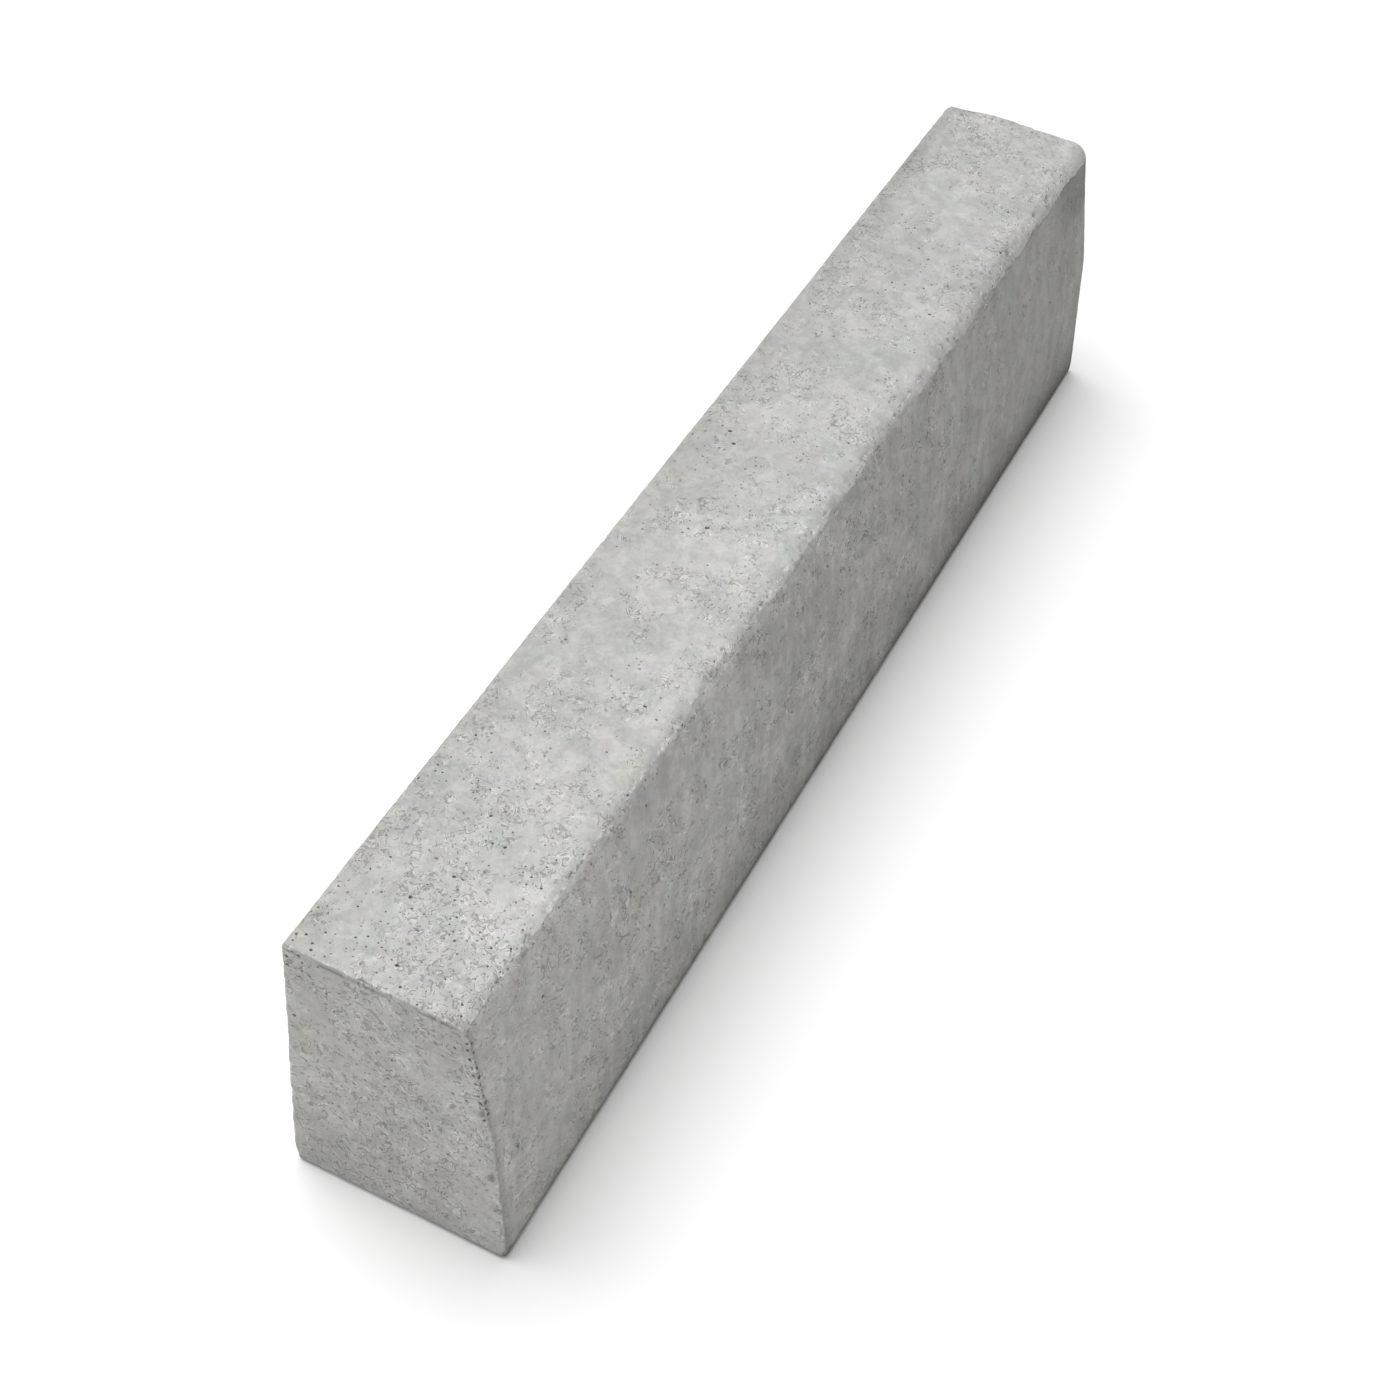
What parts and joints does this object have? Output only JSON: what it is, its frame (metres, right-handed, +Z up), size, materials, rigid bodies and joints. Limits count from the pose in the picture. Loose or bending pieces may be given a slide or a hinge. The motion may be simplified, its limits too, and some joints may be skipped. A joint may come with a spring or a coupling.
{
  "type": "concrete kerb stone",
  "caption": "Straight precast concrete kerb stone with a flat top, an upright back and a road face that leans back from its foot to a rounded nosing.",
  "frame": {"origin": "middle of the bedding face, at the bottom centre of the kerb's box", "axes": "+X along the kerb, -Y towards the road and +Y towards the footway, +Z up as laid"},
  "size_m": [1, 0.15, 0.22],
  "materials": {
    "concrete": "matt as-cast precast concrete with pinholes, pale mottling and slightly worn arrises"
  },
  "bodies": {
    "root": {"kerb_stone": "concrete"}
  },
  "joints": []
}
